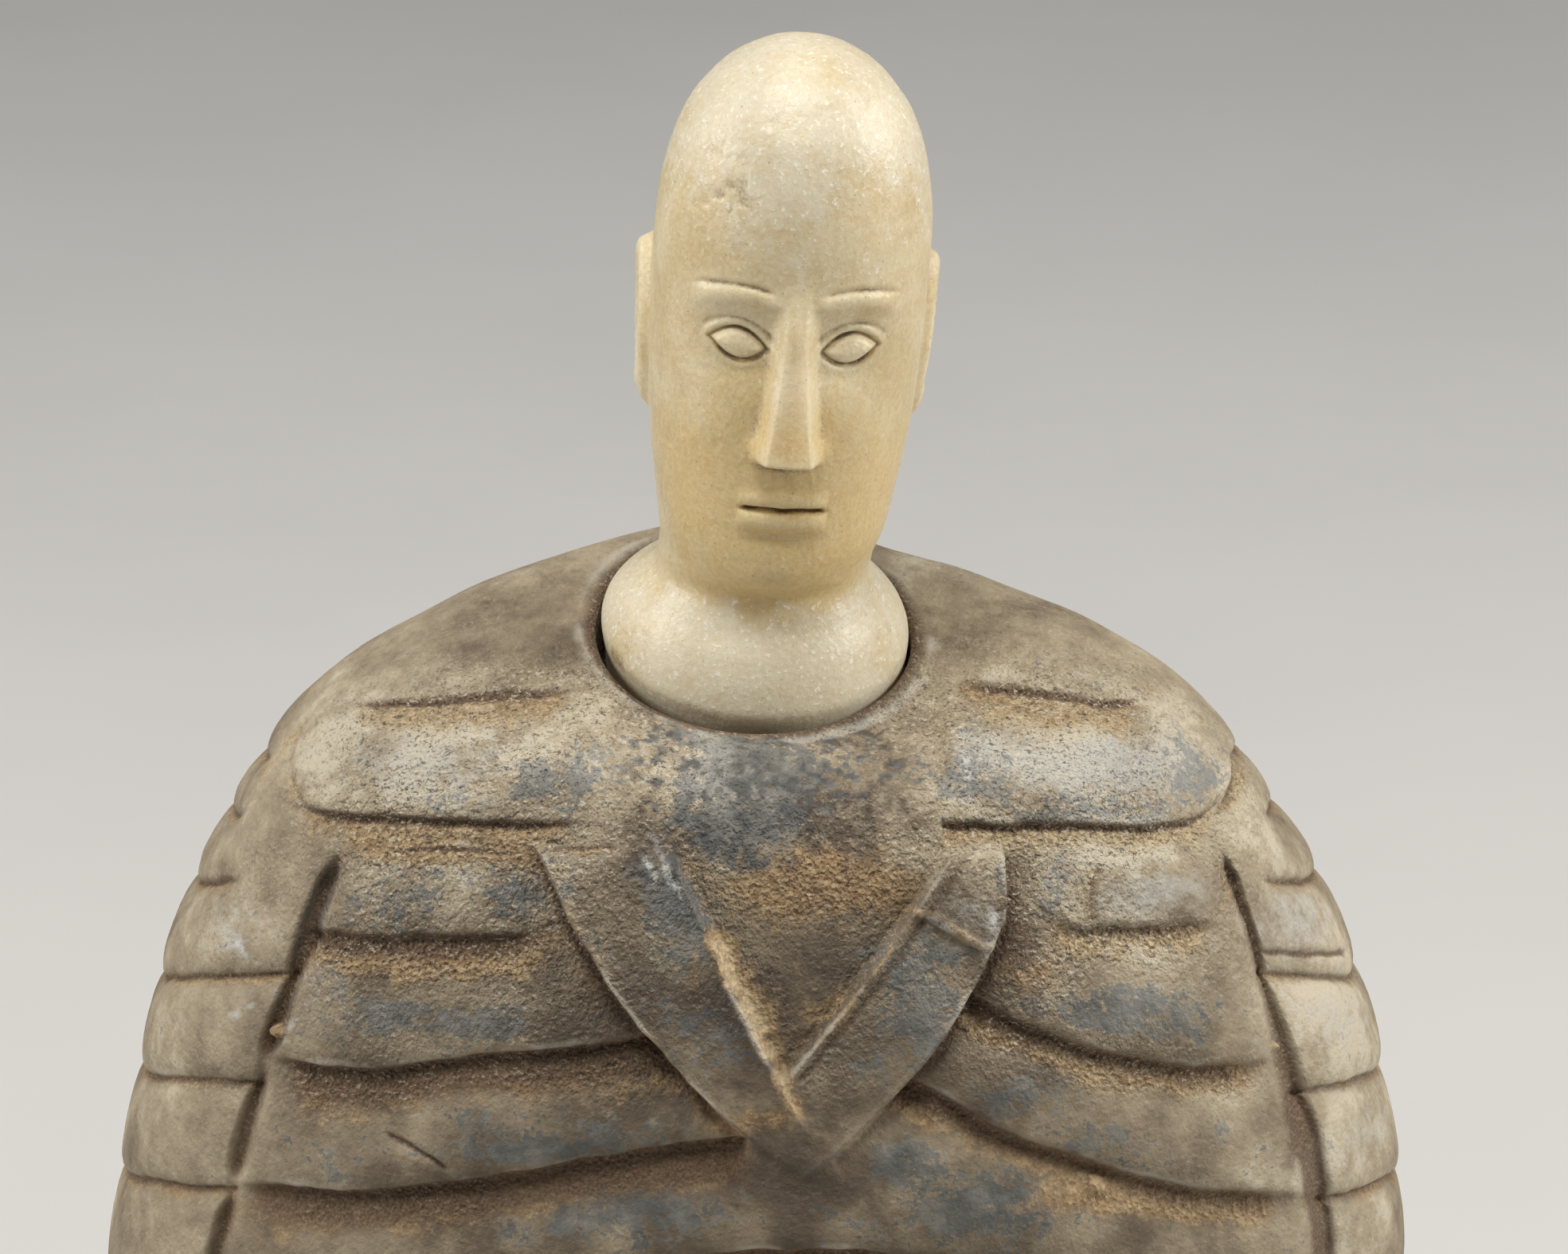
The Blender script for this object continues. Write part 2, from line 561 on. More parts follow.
def body_carving(points):
    """The whole carving of the body, with the small unevenness of each edge."""
    stray = 0.3 * noise(points, 7.0, 3) + 0.16 * noise(points, 2.3, 4) + 0.07 * noise(points, 0.9, 5)
    x, y = points[..., 0] + 0.6 * stray, points[..., 1]
    level = level_of(points) + stray
    left, right = groove_x(GROOVES[0], level), groove_x(GROOVES[1], level)
    front = ease(1, -4, y)
    opened = ease(*SHOULDER_LEVELS, level)
    shoulder = ease(*SHOULDER_ROW_END, np.abs(x))
    panel = front * (within(x, left, right, 0.8) * opened + shoulder * (1 - opened))
    lapel, covered = lapels(x, level)
    chest = chest_sides(x, level)
    rows = front_rows(x, level)
    rows.fade((1 - covered) * (1 - chest))
    rows.out += lapel.out - CHEST_SIDES_SINK * chest
    rows.mark(shade=lapel.shade, lip=lapel.lip, bright=lapel.bright)
    carved = cape_rows(x, y, level)
    carved.blend(rows, panel)
    carved.out += FULLNESS * ease(*FULL_SIDE, x) * ease(*FULL_FROM, level) * ease(*FULL_TO, level)
    for groove, middle in zip(GROOVES, (left, right)):
        cut, rolled = groove_cut(groove, level, x - middle)
        carved.cut += groove.depth * cut * front
        carved.out -= rolled * front
        dark = 1.0 - 0.6 * ease(-36, -46, level) if groove.side < 0 else 0.7 + 0.3 * ease(-38, -48, level)
        carved.mark(shade=dark * ease(0.03, 0.8, cut) * front)
        if groove.side < 0:
            carved.mark(slaty=ease(0.1, 0.5, cut) * ease(-38, -34, level) * front)
    near_rim = np.hypot(points[..., 0], y) - RIM_RADIUS
    robe = ease(BASE_HEIGHT - STEP_BLUR, BASE_HEIGHT + STEP_BLUR, points[..., 2])
    carved.fade(ease(0.2, 3.0, near_rim))
    carved.cut *= robe
    carved.out -= hand_waver(points) * ease(0.5, 6.0, near_rim)
    carved.out = robe * (carved.out + BASE_SET_IN) - BASE_SET_IN
    return carved


def outward(points):
    """Unit normals of a closed grid of rings of points."""
    along = np.gradient(points, axis=0)
    around = (np.roll(points, -1, axis=1) - np.roll(points, 1, axis=1)) / 2
    normal = np.cross(along, around)
    return normal / np.maximum(np.linalg.norm(normal, axis=-1, keepdims=True), 1e-9)


def softened(field, rings, spokes):
    """A grid's values averaged over that many rings and spokes each way, round a closed ring."""
    padded = np.pad(field, ((rings, rings), (0, 0)), mode="edge")
    padded = np.pad(padded, ((0, 0), (spokes, spokes)), mode="wrap")
    sums = np.cumsum(np.pad(padded, ((1, 0), (0, 0))), axis=0)
    down = (sums[2 * rings + 1:] - sums[:-2 * rings - 1]) / (2 * rings + 1)
    sums = np.cumsum(np.pad(down, ((0, 0), (1, 0))), axis=1)
    return (sums[:, 2 * spokes + 1:] - sums[:, :-2 * spokes - 1]) / (2 * spokes + 1)


def even_turns(count, outline, front_weight):
    """Plan angles that lie evenly along an outline, closer together at the front."""
    fine = np.linspace(0, 2 * math.pi, 4001)
    x, y = outline(fine)
    step = np.hypot(np.diff(x), np.diff(y)) * np.where(y[1:] < 0, front_weight, 1.0)
    length = np.concatenate([[0], np.cumsum(step)])
    return np.interp(np.arange(count) * length[-1] / count, length, fine)


def placed(name, data):
    """A new object in the scene."""
    obj = bpy.data.objects.new(name, data)
    bpy.context.scene.collection.objects.link(obj)
    return obj


def closed_mesh(name, rings, top, foot, marks, faces_kept):
    """A closed mesh of rings of points and a fan at each end, thinned out, with marks as attributes."""
    count, spokes, _ = rings.shape
    points = np.concatenate([rings.reshape(-1, 3), [top], [foot]]) + (0, NECK_Y, 0)
    a = np.arange(spokes)
    b = (a + 1) % spokes
    row = np.arange(count - 1)[:, None] * spokes
    quads = np.stack([row + a, row + spokes + a, row + spokes + b, row + b], -1).reshape(-1, 4)
    last, end = (count - 1) * spokes, np.full(spokes, count * spokes)
    fans = np.concatenate([np.stack([a, b, end], -1), np.stack([last + b, last + a, end + 1], -1)])
    mesh = bpy.data.meshes.new(name)
    mesh.from_pydata(points * MM, [], quads.tolist() + fans.tolist(), shade_flat=False)
    for mark, values in marks.items():
        layer = mesh.attributes.new(mark, "FLOAT", "POINT")
        layer.data.foreach_set("value", np.append(values.ravel(), [0, 0]).astype(np.float32))
    obj = placed(name, mesh)
    decimate = obj.modifiers.new("thin_out", "DECIMATE")
    decimate.ratio = faces_kept / (2 * len(quads) + len(fans))
    decimate.use_collapse_triangulate = True
    obj.data = bpy.data.meshes.new_from_object(obj.evaluated_get(bpy.context.evaluated_depsgraph_get()))
    obj.modifiers.clear()
    bpy.data.meshes.remove(mesh)
    obj.data.name = name
    obj.data.shade_smooth()
    return obj


# The body's marks for its material, with what each is inside the socket.
BODY_MARKS = dict(crust=0.3, slate=0, dirt=0.8, worn=0, sand=0, pale=0, gritty=0.5, tone=0.5)
# Scratches: both ends' x and level, depth and width. Small stones stuck on: x, level, radius and height.
SCRATCHES = (
    (-30.8, -45.3, -25, -48.7, 0.45, 0.24), (42.6, -29.3, 50.8, -30.5, 0.35, 0.3),
    (-6.6, -21.5, -4.6, -26.5, 0.2, 0.16),
)
PEBBLES = (
    (-39.9, -36.4, 0.6, 1.2), (28.7, -50.3, 0.9, 0.6), (43.9, -38, 0.35, 0.7), (17.4, -35.2, 0.5, 0.4),
)
# Patches where the dark stone shows through: x, level, half width, half height, share.
SLATE_PATCHES = (
    (-1, -14, 6, 7.5, 1.5), (5, -12.5, 8, 3.5, 0.75), (-7.5, -10, 3, 2, 0.5), (-14.5, -13, 2.6, 3.4, 0.8),
    (-18.5, -14, 2, 1.8, 1), (-25, -14.5, 7, 3, 0.35), (19, -13, 3.5, 4, 0.6), (27, -16, 10, 2.4, 0.5),
    (37.5, -13, 4, 3, 0.8), (-6, -25, 3.2, 5.5, 1), (-3, -35, 3.5, 5, 0.6), (-19.5, -23.5, 4, 3, 0.85),
    (-29, -24, 7, 1.6, 0.35), (16.6, -28.6, 2.6, 1.1, 1.1), (-22, -35, 5, 2.2, 1), (-30, -35, 5, 1.8, 0.8),
    (-22, -46.5, 14, 2.6, 0.75), (13, -33, 4.5, 6, 0.9), (17.5, -25, 2.5, 2.6, 0.45),
    (24.5, -24, 2.5, 4, 0.6), (31, -34.6, 9, 2.6, 1.25), (24, -41, 5, 3, 0.6), (33, -46, 9, 2.6, 0.45),
    (12.8, -47.6, 3, 1.8, 1), (19, -52, 7, 3.6, 0.9), (-9.6, -52.5, 9, 3, 0.6), (-21, -2.5, 7, 3, 0.5),
    (27, -4, 7, 1.8, 0.45), (15.5, -0.7, 2.2, 2.6, 0.8), (-15, 0.2, 2.4, 2.2, 0.6),
)
# Patches of dark brown dirt, and of rust-coloured sand, in the same terms.
DIRT_PATCHES = (
    (21.3, -27, 2, 5, 0.75), (22, -34, 2.5, 2, 0.5), (41, -28.3, 1.1, 1.1, 1), (-3, -49, 7, 2.6, 0.45),
    (-37.8, -13.5, 1.5, 2, 0.5), (-45, -21.5, 2.5, 1, 0.5), (-44.5, -30, 3, 0.9, 0.45),
    (-14, -30, 2.2, 6, 0.35), (47, -21, 2, 0.9, 0.5), (13.8, -17, 0.8, 0.8, 0.8), (-25, -27.8, 6, 1, 0.3),
    (-29, -18.2, 9, 1, 0.35), (45.6, -47, 0.9, 4, 0.8),
)
SAND_PATCHES = (
    (6, -22.5, 8, 3.8, 1.2), (-5, -30.5, 0.9, 4.5, 0.7), (-26, -29.6, 9, 1.4, 0.8),
    (21.5, -36.4, 3, 1.2, 0.5), (28, -51.5, 14, 1.5, 0.6), (-26, -7.6, 9, 1.2, 0.5),
    (0, -43.9, 4.5, 3, 0.75), (23, -31.5, 3.2, 4.5, 0.7), (26, -8.2, 8, 1.5, 0.55),
    (-27, -20.4, 9, 1.3, 0.45), (7, -36, 3, 4, 0.3), (42.5, -12.5, 2, 3, 0.6), (38, -7.5, 4, 3, 0.45),
    (33, -1.5, 5, 2.5, 0.35),
)
# How light the film is, and where it is lighter or darker: x, level, half width, half height, how much.
FILM_TONE = 0.62
TONE_PATCHES = (
    (4, -51, 34, 16, -0.33), (27, -8.5, 10, 2.2, 0.3), (28, -19.6, 10, 2, 0.35), (31, -28.6, 9, 2, 0.3),
    (-28, -29.5, 12, 2.2, -0.18), (-27, -19.6, 10, 2, -0.1), (21.5, -36.5, 3, 1.5, 0.3),
    (-9.5, -33, 5, 12, -0.42), (3.5, -32, 7, 7, -0.42), (13.5, -33, 5, 9, -0.08), (20, -29, 3, 5, -0.35),
    (5.5, -22, 8, 4, -0.04), (8, -14, 6, 6, -0.18), (-24, -33, 12, 10, -0.12), (-38, -9, 9, 7, 0.25),
    (-50, -40, 6, 22, 0.1), (32, -13, 14, 8, 0.25), (32, -23, 10, 6, 0.14), (50, -34, 8, 22, 0.45),
    (45, -44, 3, 3, -0.3), (27, -3, 9, 4, 0.3), (-27, -12, 13, 5, 0.3), (31, -34.6, 9, 3, 0.2),
    (30, -7.5, 12, 3, -0.12), (39, -42.5, 6, 2.5, 0.3), (-36, -36, 6, 3, -0.22), (-8, -25.5, 2.5, 4, 0.3),
    (-20, 1, 9, 4, -0.12), (18, 1, 7, 3, -0.12), (10, -53, 10, 4, -0.1),
)
# Pale patches, where the film is thin or frosted: row ends and the cape's pillows.
PALE_PATCHES = (
    (29, -12.5, 12, 3.4, 1.2), (18.6, -12, 2.4, 3.4, 0.9), (-28, -12, 9, 3.4, 0.8), (-15, -12, 3, 3.4, 0.5),
    (33, -23.6, 6, 2, 0.7), (18, -24.6, 3, 2.4, 0.45), (-7.4, -27, 1.2, 5, 0.6), (-7.8, -22.8, 1.1, 3, 0.6),
    (-45, -27, 5, 4, 0.45), (47, -26, 6, 4, 0.8), (50, -36, 6, 4, 0.6), (52, -47, 6, 4, 0.6),
    (32, -34, 8, 2.4, 0.4), (29, -3.5, 10, 4, 0.5),
)
# Small white glints: x, level, half width, half height, lean.
GLINTS = (
    (-43.2, -29, 0.5, 1.3, -0.8), (-42.3, -34.1, 0.5, 1.2, 2), (-43.6, -35, 0.6, 0.5, 1),
    (-38.9, -36.2, 0.5, 1.2, 0.6), (19.2, -28.5, 0.7, 0.7, 0), (19.6, -25.6, 0.4, 1.6, 0.2),
    (17.7, -12.9, 0.25, 3.6, -0.09), (-6.1, -24, 0.45, 4.2, -0.4), (-8.3, -22, 0.35, 2.4, -0.5),
    (16.5, -27, 0.5, 1.6, -1.72), (-3.4, -12.6, 0.3, 1.6, 0),
)
# Places rubbed smooth, with less grain: x, level, half width, half height, share.
SMOOTH_PATCHES = (
    (4, -31.5, 5, 5, 0.35), (-5, -33, 4, 9, 0.3), (13, -33, 4, 8, 0.35), (31, -34.5, 8, 3, 0.35),
    (34, -24, 6, 2, 0.3),
)


def spot(x, level, middle, height, wide, tall, lean=0):
    """How far a point lies from a spot's middle, in its half sizes and squared."""
    return ((x - middle - lean * (level - height)) / wide) ** 2 + ((level - height) / tall) ** 2


def patches(spots, x, level):
    """How much a point lies in the spots, from 0 up."""
    share = np.zeros_like(x)
    for *place, much in spots:
        share = np.maximum(share, much * np.exp(-spot(x, level, *place) * 1.1))
    return share


def glints(x, level):
    """How much a point lies on a glint, from 0 to 1."""
    return np.max([np.exp(-spot(x, level, *place)) for place in GLINTS], axis=0)


def film_tone(x, level, front):
    """How light the film is, from 0 for umber through grey-brown to 1 for pale buff."""
    tone = np.full_like(x, FILM_TONE)
    for *place, much in TONE_PATCHES:
        tone = tone + much * np.exp(-spot(x, level, *place)) * front
    return tone


def small_details(x, level, form):
    """Scratches and small stones stuck on, as heights."""
    height = np.zeros_like(x)
    waver = 0.25 * noise(form, 1.6, 61)
    for x_from, level_from, x_to, level_to, depth, width in SCRATCHES:
        run_x, run_level = x_to - x_from, level_to - level_from
        length = math.hypot(run_x, run_level)
        along = ((x - x_from) * run_x + (level - level_from) * run_level) / length
        aside = ((x - x_from) * run_level - (level - level_from) * run_x) / length
        ends = ease(-0.3, 0.8, along) * ease(length, length - 1.2, along)
        height -= depth * bump(aside + waver, width) * ends
    for middle, at, size, tall in PEBBLES:
        reach = 1 - ((x - middle) ** 2 + (level - at) ** 2) / size**2
        height = height + tall * np.sqrt(unit(reach))
    return height


def socket_rings(turn):
    """The socket's floor, wall and rounded lip, from the middle outwards."""
    places = [(SOCKET_FLOOR_RADIUS * share, SOCKET_DEPTH) for share in np.linspace(0.08, 0.95, 12)]
    corner = SOCKET_DEPTH - SOCKET_CORNER
    places += [(SOCKET_FLOOR_RADIUS - 0.3, SOCKET_DEPTH - 0.1), (SOCKET_FLOOR_RADIUS, corner)]
    for share in np.linspace(0.1, 1, 10):
        radius = SOCKET_FLOOR_RADIUS + (SOCKET_RADIUS - SOCKET_FLOOR_RADIUS) * share
        places.append((radius, corner + (SOCKET_LIP - SOCKET_DEPTH + SOCKET_CORNER) * share))
    places += [(SOCKET_RADIUS + 0.06, 0.3), (SOCKET_RADIUS + 0.2, 0.12), (SOCKET_RADIUS + 0.45, 0.03)]
    worn = SOCKET_WEAR * unit(np.cos(turn - SOCKET_WEAR_TURN)) ** 2
    return np.array([
        socket_point(turn, radius + worn * ease(SOCKET_DEPTH, SOCKET_DEPTH * 0.4, drop), drop + 0 * turn)
        for radius, drop in places
    ])


def fine_relief(form, carving, crust, gritty, scraped):
    """Grain of the crust, rubbed stone, pits and chipped edges, as heights."""
    grit = 0.11 * rough(form, 1.1, 51, 2) + 0.06 * np.abs(noise(form, 0.6, 52))
    fine = crust * grit + 0.07 * gritty * rough(form, 1.3, 53, 2)
    fine += 0.04 * scraped
    fine += 0.02 * noise(form * (0.3, 0.3, 2.2), 1.0, 55) * (1 - crust)
    pits = ease(0.55, 0.8, noise(form, 1.2, 56)) * ease(-0.3, 0.3, noise(form, 9.0, 57)) * gritty
    fine -= 0.2 * pits
    return fine - 0.25 * carving.lip * ease(0.3, 0.7, noise(form, 2.1, 58))


def body_looks(form, level, front, carving):
    """(looks, streaks): how crusty, slaty, dirty and so on each place is, and how streaked."""
    x = form[..., 0]
    height = carving.out - carving.cut
    raised, raised_fine = (height - softened(height, *near) for near in (BODY_AROUND, BODY_CLOSE_BY))
    middle = ease(46, 30, np.abs(x)) * front
    x_stray = x + 1.3 * noise(form, 3.2, 62) + 0.6 * noise(form, 1.2, 63)
    level_stray = level + 0.9 * noise(form, 2.6, 64) + 0.45 * noise(form, 1.0, 65)

    def laid(spots):
        """The patches of one kind, with strayed edges."""
        return patches(spots, x_stray, level_stray) * front

    blotch = rough(form, 9.0, 21, 4)
    sand = laid(SAND_PATCHES)
    crust = unit(0.85 * carving.sandy + 1.1 * sand - 0.5 * raised + 0.45 * rough(form, 3.5, 31, 4) - 0.12)
    streak = noise(form * (1.7, 1.7, 0.25), 1.0, 54)
    streaked = ease(14, 9, np.abs(x - 1)) * ease(-26, -20, level) * front
    slate = 1.1 * laid(SLATE_PATCHES) + 0.5 * blotch + 0.3 * raised
    smear = noise(form * (0.3, 0.3, 1.2), 1.5, 66)
    slate += 0.6 * streaked * streak + 0.3 * smear * middle * (1 - streaked)
    slate = unit(slate + 0.25 * noise(form, 2.6, 48) * middle - 0.02)
    slate = np.maximum(slate, carving.slaty)
    dirt = carving.shade * (1 - 0.45 * carving.slaty) + 0.4 * unit(-raised_fine * 1.4 - 0.1)
    dirt *= 1 - 0.4 * ease(18, 28, x) * ease(-21, -26, level) * ease(48, 40, x) * front
    dirt += laid(DIRT_PATCHES) * (0.35 + 0.65 * ease(-0.3, 0.4, noise(form, 0.9, 67)))
    scuffed = ease(-0.3, 0.6, rough(form, 4.0, 41, 3))
    worn = unit(scuffed * (0.6 * carving.lip + unit(raised_fine * 1.3 - 0.2)))
    pale = unit(laid(PALE_PATCHES) + 0.3 * noise(form, 7.0, 45) - 0.6 * crust)
    glint = glints(x + 0.3 * noise(form, 1.2, 49), level) * ease(-0.8, 0.1, noise(form, 0.8, 50))
    pale += 1.5 * glint * front
    upper_half = ease(-46, -30, level) * ease(3, -6, level)
    gritty = 0.12 + 0.62 * middle * upper_half + 0.35 * crust + 0.3 * noise(form, 6.0, 46)
    gritty -= 0.25 * ease(-40, -48, level) + patches(SMOOTH_PATCHES, x, level) * front
    gritty = np.clip(gritty, 0.02, 1)
    tone = film_tone(x, level, front) + 0.35 * blotch - 0.25 * noise(form, 4.0, 47) * middle
    tone = unit(tone - 0.6 * streaked * ease(0.0, 0.6, streak))
    looks = SimpleNamespace(
        crust=crust, slate=slate, dirt=dirt, worn=worn, sand=sand, pale=pale, gritty=gritty, tone=tone,
    )
    return looks, streak * streaked


def lay_over(looks, form, details, bright):
    """Gives the stones stuck on, the scratches and the bright edges a look of their own."""
    stuck = ease(0.15, 0.4, details)
    broken = bright * ease(-0.8, 0.1, noise(form, 1.1, 68))
    looks.crust = np.maximum(np.maximum(looks.crust, stuck), 1.2 * broken)
    looks.worn = np.maximum(np.maximum(looks.worn, 0.3 * stuck), 0.2 * broken)
    looks.sand = np.maximum(looks.sand, 0.7 * stuck) * (1 - broken)
    looks.tone = np.maximum(looks.tone, broken)
    looks.gritty = looks.gritty * (1 - 0.6 * broken)
    looks.slate = looks.slate * ((1 - stuck) * (1 - broken))
    looks.dirt = unit(looks.dirt + 0.8 * ease(-0.05, -0.3, details)) * (1 - stuck) * (1 - 0.9 * broken)


def body():
    """The robed body, one stone, with the socket in its top."""

    def outline(turn):
        """The body's widest outline, in plan."""
        return plan_radius(turn) * np.cos(turn), plan_radius(turn) * np.sin(turn)

    upper, lower, spokes, faces_kept = BODY_MESH
    turn = even_turns(spokes, outline, BODY_CROWDING)
    run = np.concatenate([np.linspace(0, 1, upper), 1 + np.linspace(0, 1, lower + 1)[1:]])
    form = body_form(*np.meshgrid(turn, run))
    x, y, z = np.moveaxis(form, -1, 0)
    level, front = level_of(form), ease(2, -8, y)
    carving = body_carving(form)
    looks, streaks = body_looks(form, level, front, carving)

    details = small_details(x, level, form) * front
    fine = fine_relief(form, carving, looks.crust, looks.gritty, streaks) + details
    lay_over(looks, form, details, carving.bright)
    past_rim = np.hypot(x, y) - RIM_RADIUS
    smooth_ends = ease(0.0, 1.5, past_rim) * ease(0.0, 0.8, z)
    carved = form + outward(form) * (carving.out + fine * smooth_ends)[..., None]
    carved += carving.cut[..., None] * INTO_FRONT
    carved[-1, :, 2] = 0
    rim_worn = bump(past_rim + 0.3, 0.7) * ease(-0.6, 0.5, noise(form, 2.0, 44))
    looks.worn = unit(looks.worn + rim_worn * (0.9 + 0.7 * ease(-6, 4, x) * front))

    hollow = socket_rings(turn)
    marks = {
        name: np.concatenate([np.full(hollow.shape[:2], inside), getattr(looks, name)])
        for name, inside in BODY_MARKS.items()
    }
    floor = socket_point(np.zeros(1), 0.0, np.full(1, SOCKET_DEPTH))[0]
    return closed_mesh("carved_body", np.concatenate([hollow, carved]), floor, (0, 0, 0), marks, faces_kept)


def head_form(turn, height):
    """The head and neck without features: the rings tilt into the socket's plane at the neck's foot."""
    heights, *sizes = np.array(HEAD_SECTIONS).T[:, ::-1]
    half, front, back = (curve_through(np.stack([heights, size], -1), height) for size in sizes)
    depth = np.where(np.sin(turn) < 0, front, back)
    power = 2 + (HEAD_PLAN_POWER - 2) * ease(4, 14, height)
    across = np.abs(np.cos(turn)) ** power + np.abs(np.sin(turn)) ** power
    x = half * np.cos(turn) / across ** (1 / power)
    y = depth * np.sin(turn) / across ** (1 / power)
    free = ease(0, NECK_TOP, height)
    tilt = SOCKET_TILT * (1 - free)
    y_level, z = y * np.cos(tilt) - height * np.sin(tilt), height * np.cos(tilt) + y * np.sin(tilt)
    return np.stack([x, y_level - HEAD_FORWARD * free, z - SOCKET_ROLL * x * (1 - free)], -1)


def eye_depth(x, z):
    """How far a point lies inside an eye's almond outline, on either side of the nose."""
    along = (np.abs(x) - EYE_X) / EYE_HALF_WIDTH
    span = np.clip(np.abs(along), 0, 1.4)
    inside = EYE_HALF_HEIGHT * (1 - span**2) - np.abs(z - EYE_Z - 0.2 * along)
    return inside / np.sqrt(1 + (2 * EYE_HALF_HEIGHT * span / EYE_HALF_WIDTH) ** 2)


def brows_and_eyes(side, x, z):
    """The hollows of the eyes, the arched brows and the almond eyes in them, with (form, cut lines)."""
    hollow = -1.25 * bump(side - EYE_X + 0.4, 3.3) * bump(z - EYE_Z - 0.2, 2.9)
    brow_line = BROW_Z + 1.1 - 0.055 * (side - 4.8) ** 2
    brow = 0.4 * bump(z - brow_line + 0.8, 1.0) * ease(9.3, 7.5, side) * ease(0.8, 2.2, side)
    inside = eye_depth(x, z)
    near_eye = ease(EYE_HALF_WIDTH + 0.9, EYE_HALF_WIDTH + 0.1, np.abs(side - EYE_X))
    ball = 0.7 * ease(-0.05, 0.5, inside) + 0.3 * ease(0.2, 1.2, inside)
    lids = 0.25 * bump(inside + 0.35, 0.4) * near_eye
    brow_cut = 0.9 * bump(z - brow_line - 0.15, 0.26) * ease(9.0, 7.6, side) * ease(1.6, 2.8, side)
    lid_cut = bump(inside - 0.02, 0.2) * near_eye
    lid_fold = 0.6 * bump(inside + 0.85, 0.2) * near_eye * ease(0.0, 0.6, z - EYE_Z)
    return hollow + brow + ball + lids, np.maximum(brow_cut, np.maximum(lid_cut, lid_fold))


def nose_shape(side, z):
    """A straight wedge of a nose, with small wings at its foot."""
    down = np.clip((BROW_Z - z) / (BROW_Z - NOSE_FOOT_Z), 0, 1.2)
    half = 1.4 + 1.2 * down**1.4
    runs = ease(BROW_Z + 2.5, BROW_Z - 3.0, z) * ease(NOSE_FOOT_Z - 0.5, NOSE_FOOT_Z + 0.5, z)
    height = 1.0 + (NOSE_HEIGHT - 1.0) * down - 0.3 * unit(side / half) ** 2
    wings = 0.45 * bump(side - half - 0.1, 0.6) * bump(z - NOSE_FOOT_Z - 1.2, 1.0)
    return height * ease(half + 0.6, half - 0.8, side) * runs + wings


def mouth_and_chin(side, z):
    """A closed, level mouth and a rounded chin, as (form, cut line)."""
    along = unit(side / MOUTH_HALF_WIDTH)
    fullness = np.sqrt(1 - along**2)
    closed = ease(MOUTH_HALF_WIDTH + 0.2, MOUTH_HALF_WIDTH - 0.8, side)
    line = MOUTH_Z + 0.1 * bump(side - 1.3, 0.9)
    parting = -0.45 * bump(z - line, 0.24) * closed
    upper = 0.5 * fullness * bump(z - MOUTH_Z - 0.9, 0.7)
    lower = 0.6 * fullness * bump(z - MOUTH_Z + 0.95, 0.8)
    under_lip = -0.4 * bump(side, 3.0) * bump(z - MOUTH_Z + 2.6, 0.8)
    groove = -0.2 * bump(side, 0.6) * bump(z - (NOSE_FOOT_Z + MOUTH_Z) / 2 - 0.6, 1.0)
    chin = 0.7 * bump(side, 3.6) * bump(z - CHIN_Z - 2.6, 2.0)
    return parting + upper + lower + under_lip + groove + chin, bump(z - line, 0.2) * closed


def face_relief(x, z):
    """How far the carved face stands in front of the plain head, and its cut lines."""
    side = np.abs(x)
    cheeks = 0.35 * bump(side - 6.3, 2.6) * bump(z - NOSE_FOOT_Z - 2.5, 3.2)
    eyes, eye_cuts = brows_and_eyes(side, x, z)
    mouth, mouth_cut = mouth_and_chin(side, z)
    return eyes + nose_shape(side, z) + mouth + cheeks, np.maximum(eye_cuts, mouth_cut)


def ear_relief(y, z):
    """How far each ear stands out from the side of the head, most at its back edge."""
    middle, half = (EAR_TOP_Z + EAR_FOOT_Z) / 2, (EAR_TOP_Z - EAR_FOOT_Z) / 2
    up = (z - middle) / half
    low = unit(-up)
    along = (y - EAR_Y - 0.7 * up) / (EAR_HALF_DEPTH * (1 - 0.3 * low))
    inside = 1 - (np.abs(along) ** 2.2 + np.abs(up) ** 2.2) ** (1 / 2.2)
    reach = EAR_REACH * (1 - 0.4 * low) * (0.6 + 0.4 * ease(-0.9, 0.6, along))
    bowl = ease(0.2, 0.4, inside) * ease(-0.75, -0.35, up)
    return reach * ease(0, 0.14, inside) * (0.55 + 0.45 * ease(0, 0.5, inside)) * (1 - 0.5 * bowl)


def turn_head(points, height):
    """Leans and turns the head over its neck, and lifts it to the socket's height."""
    free = ease(0, NECK_TOP + 3, np.asarray(height, float))
    yaw, lean = HEAD_YAW * free, HEAD_LEAN * free
    x, y, z = np.moveaxis(points, -1, 0)
    x, y = x * np.cos(yaw) - y * np.sin(yaw), y * np.cos(yaw) + x * np.sin(yaw)
    up = z - HEAD_PIVOT_Z
    x, z = x * np.cos(lean) + up * np.sin(lean), HEAD_PIVOT_Z + up * np.cos(lean) - x * np.sin(lean)
    return np.stack([x + HEAD_ASIDE * free, y, z + SOCKET_Z], -1)


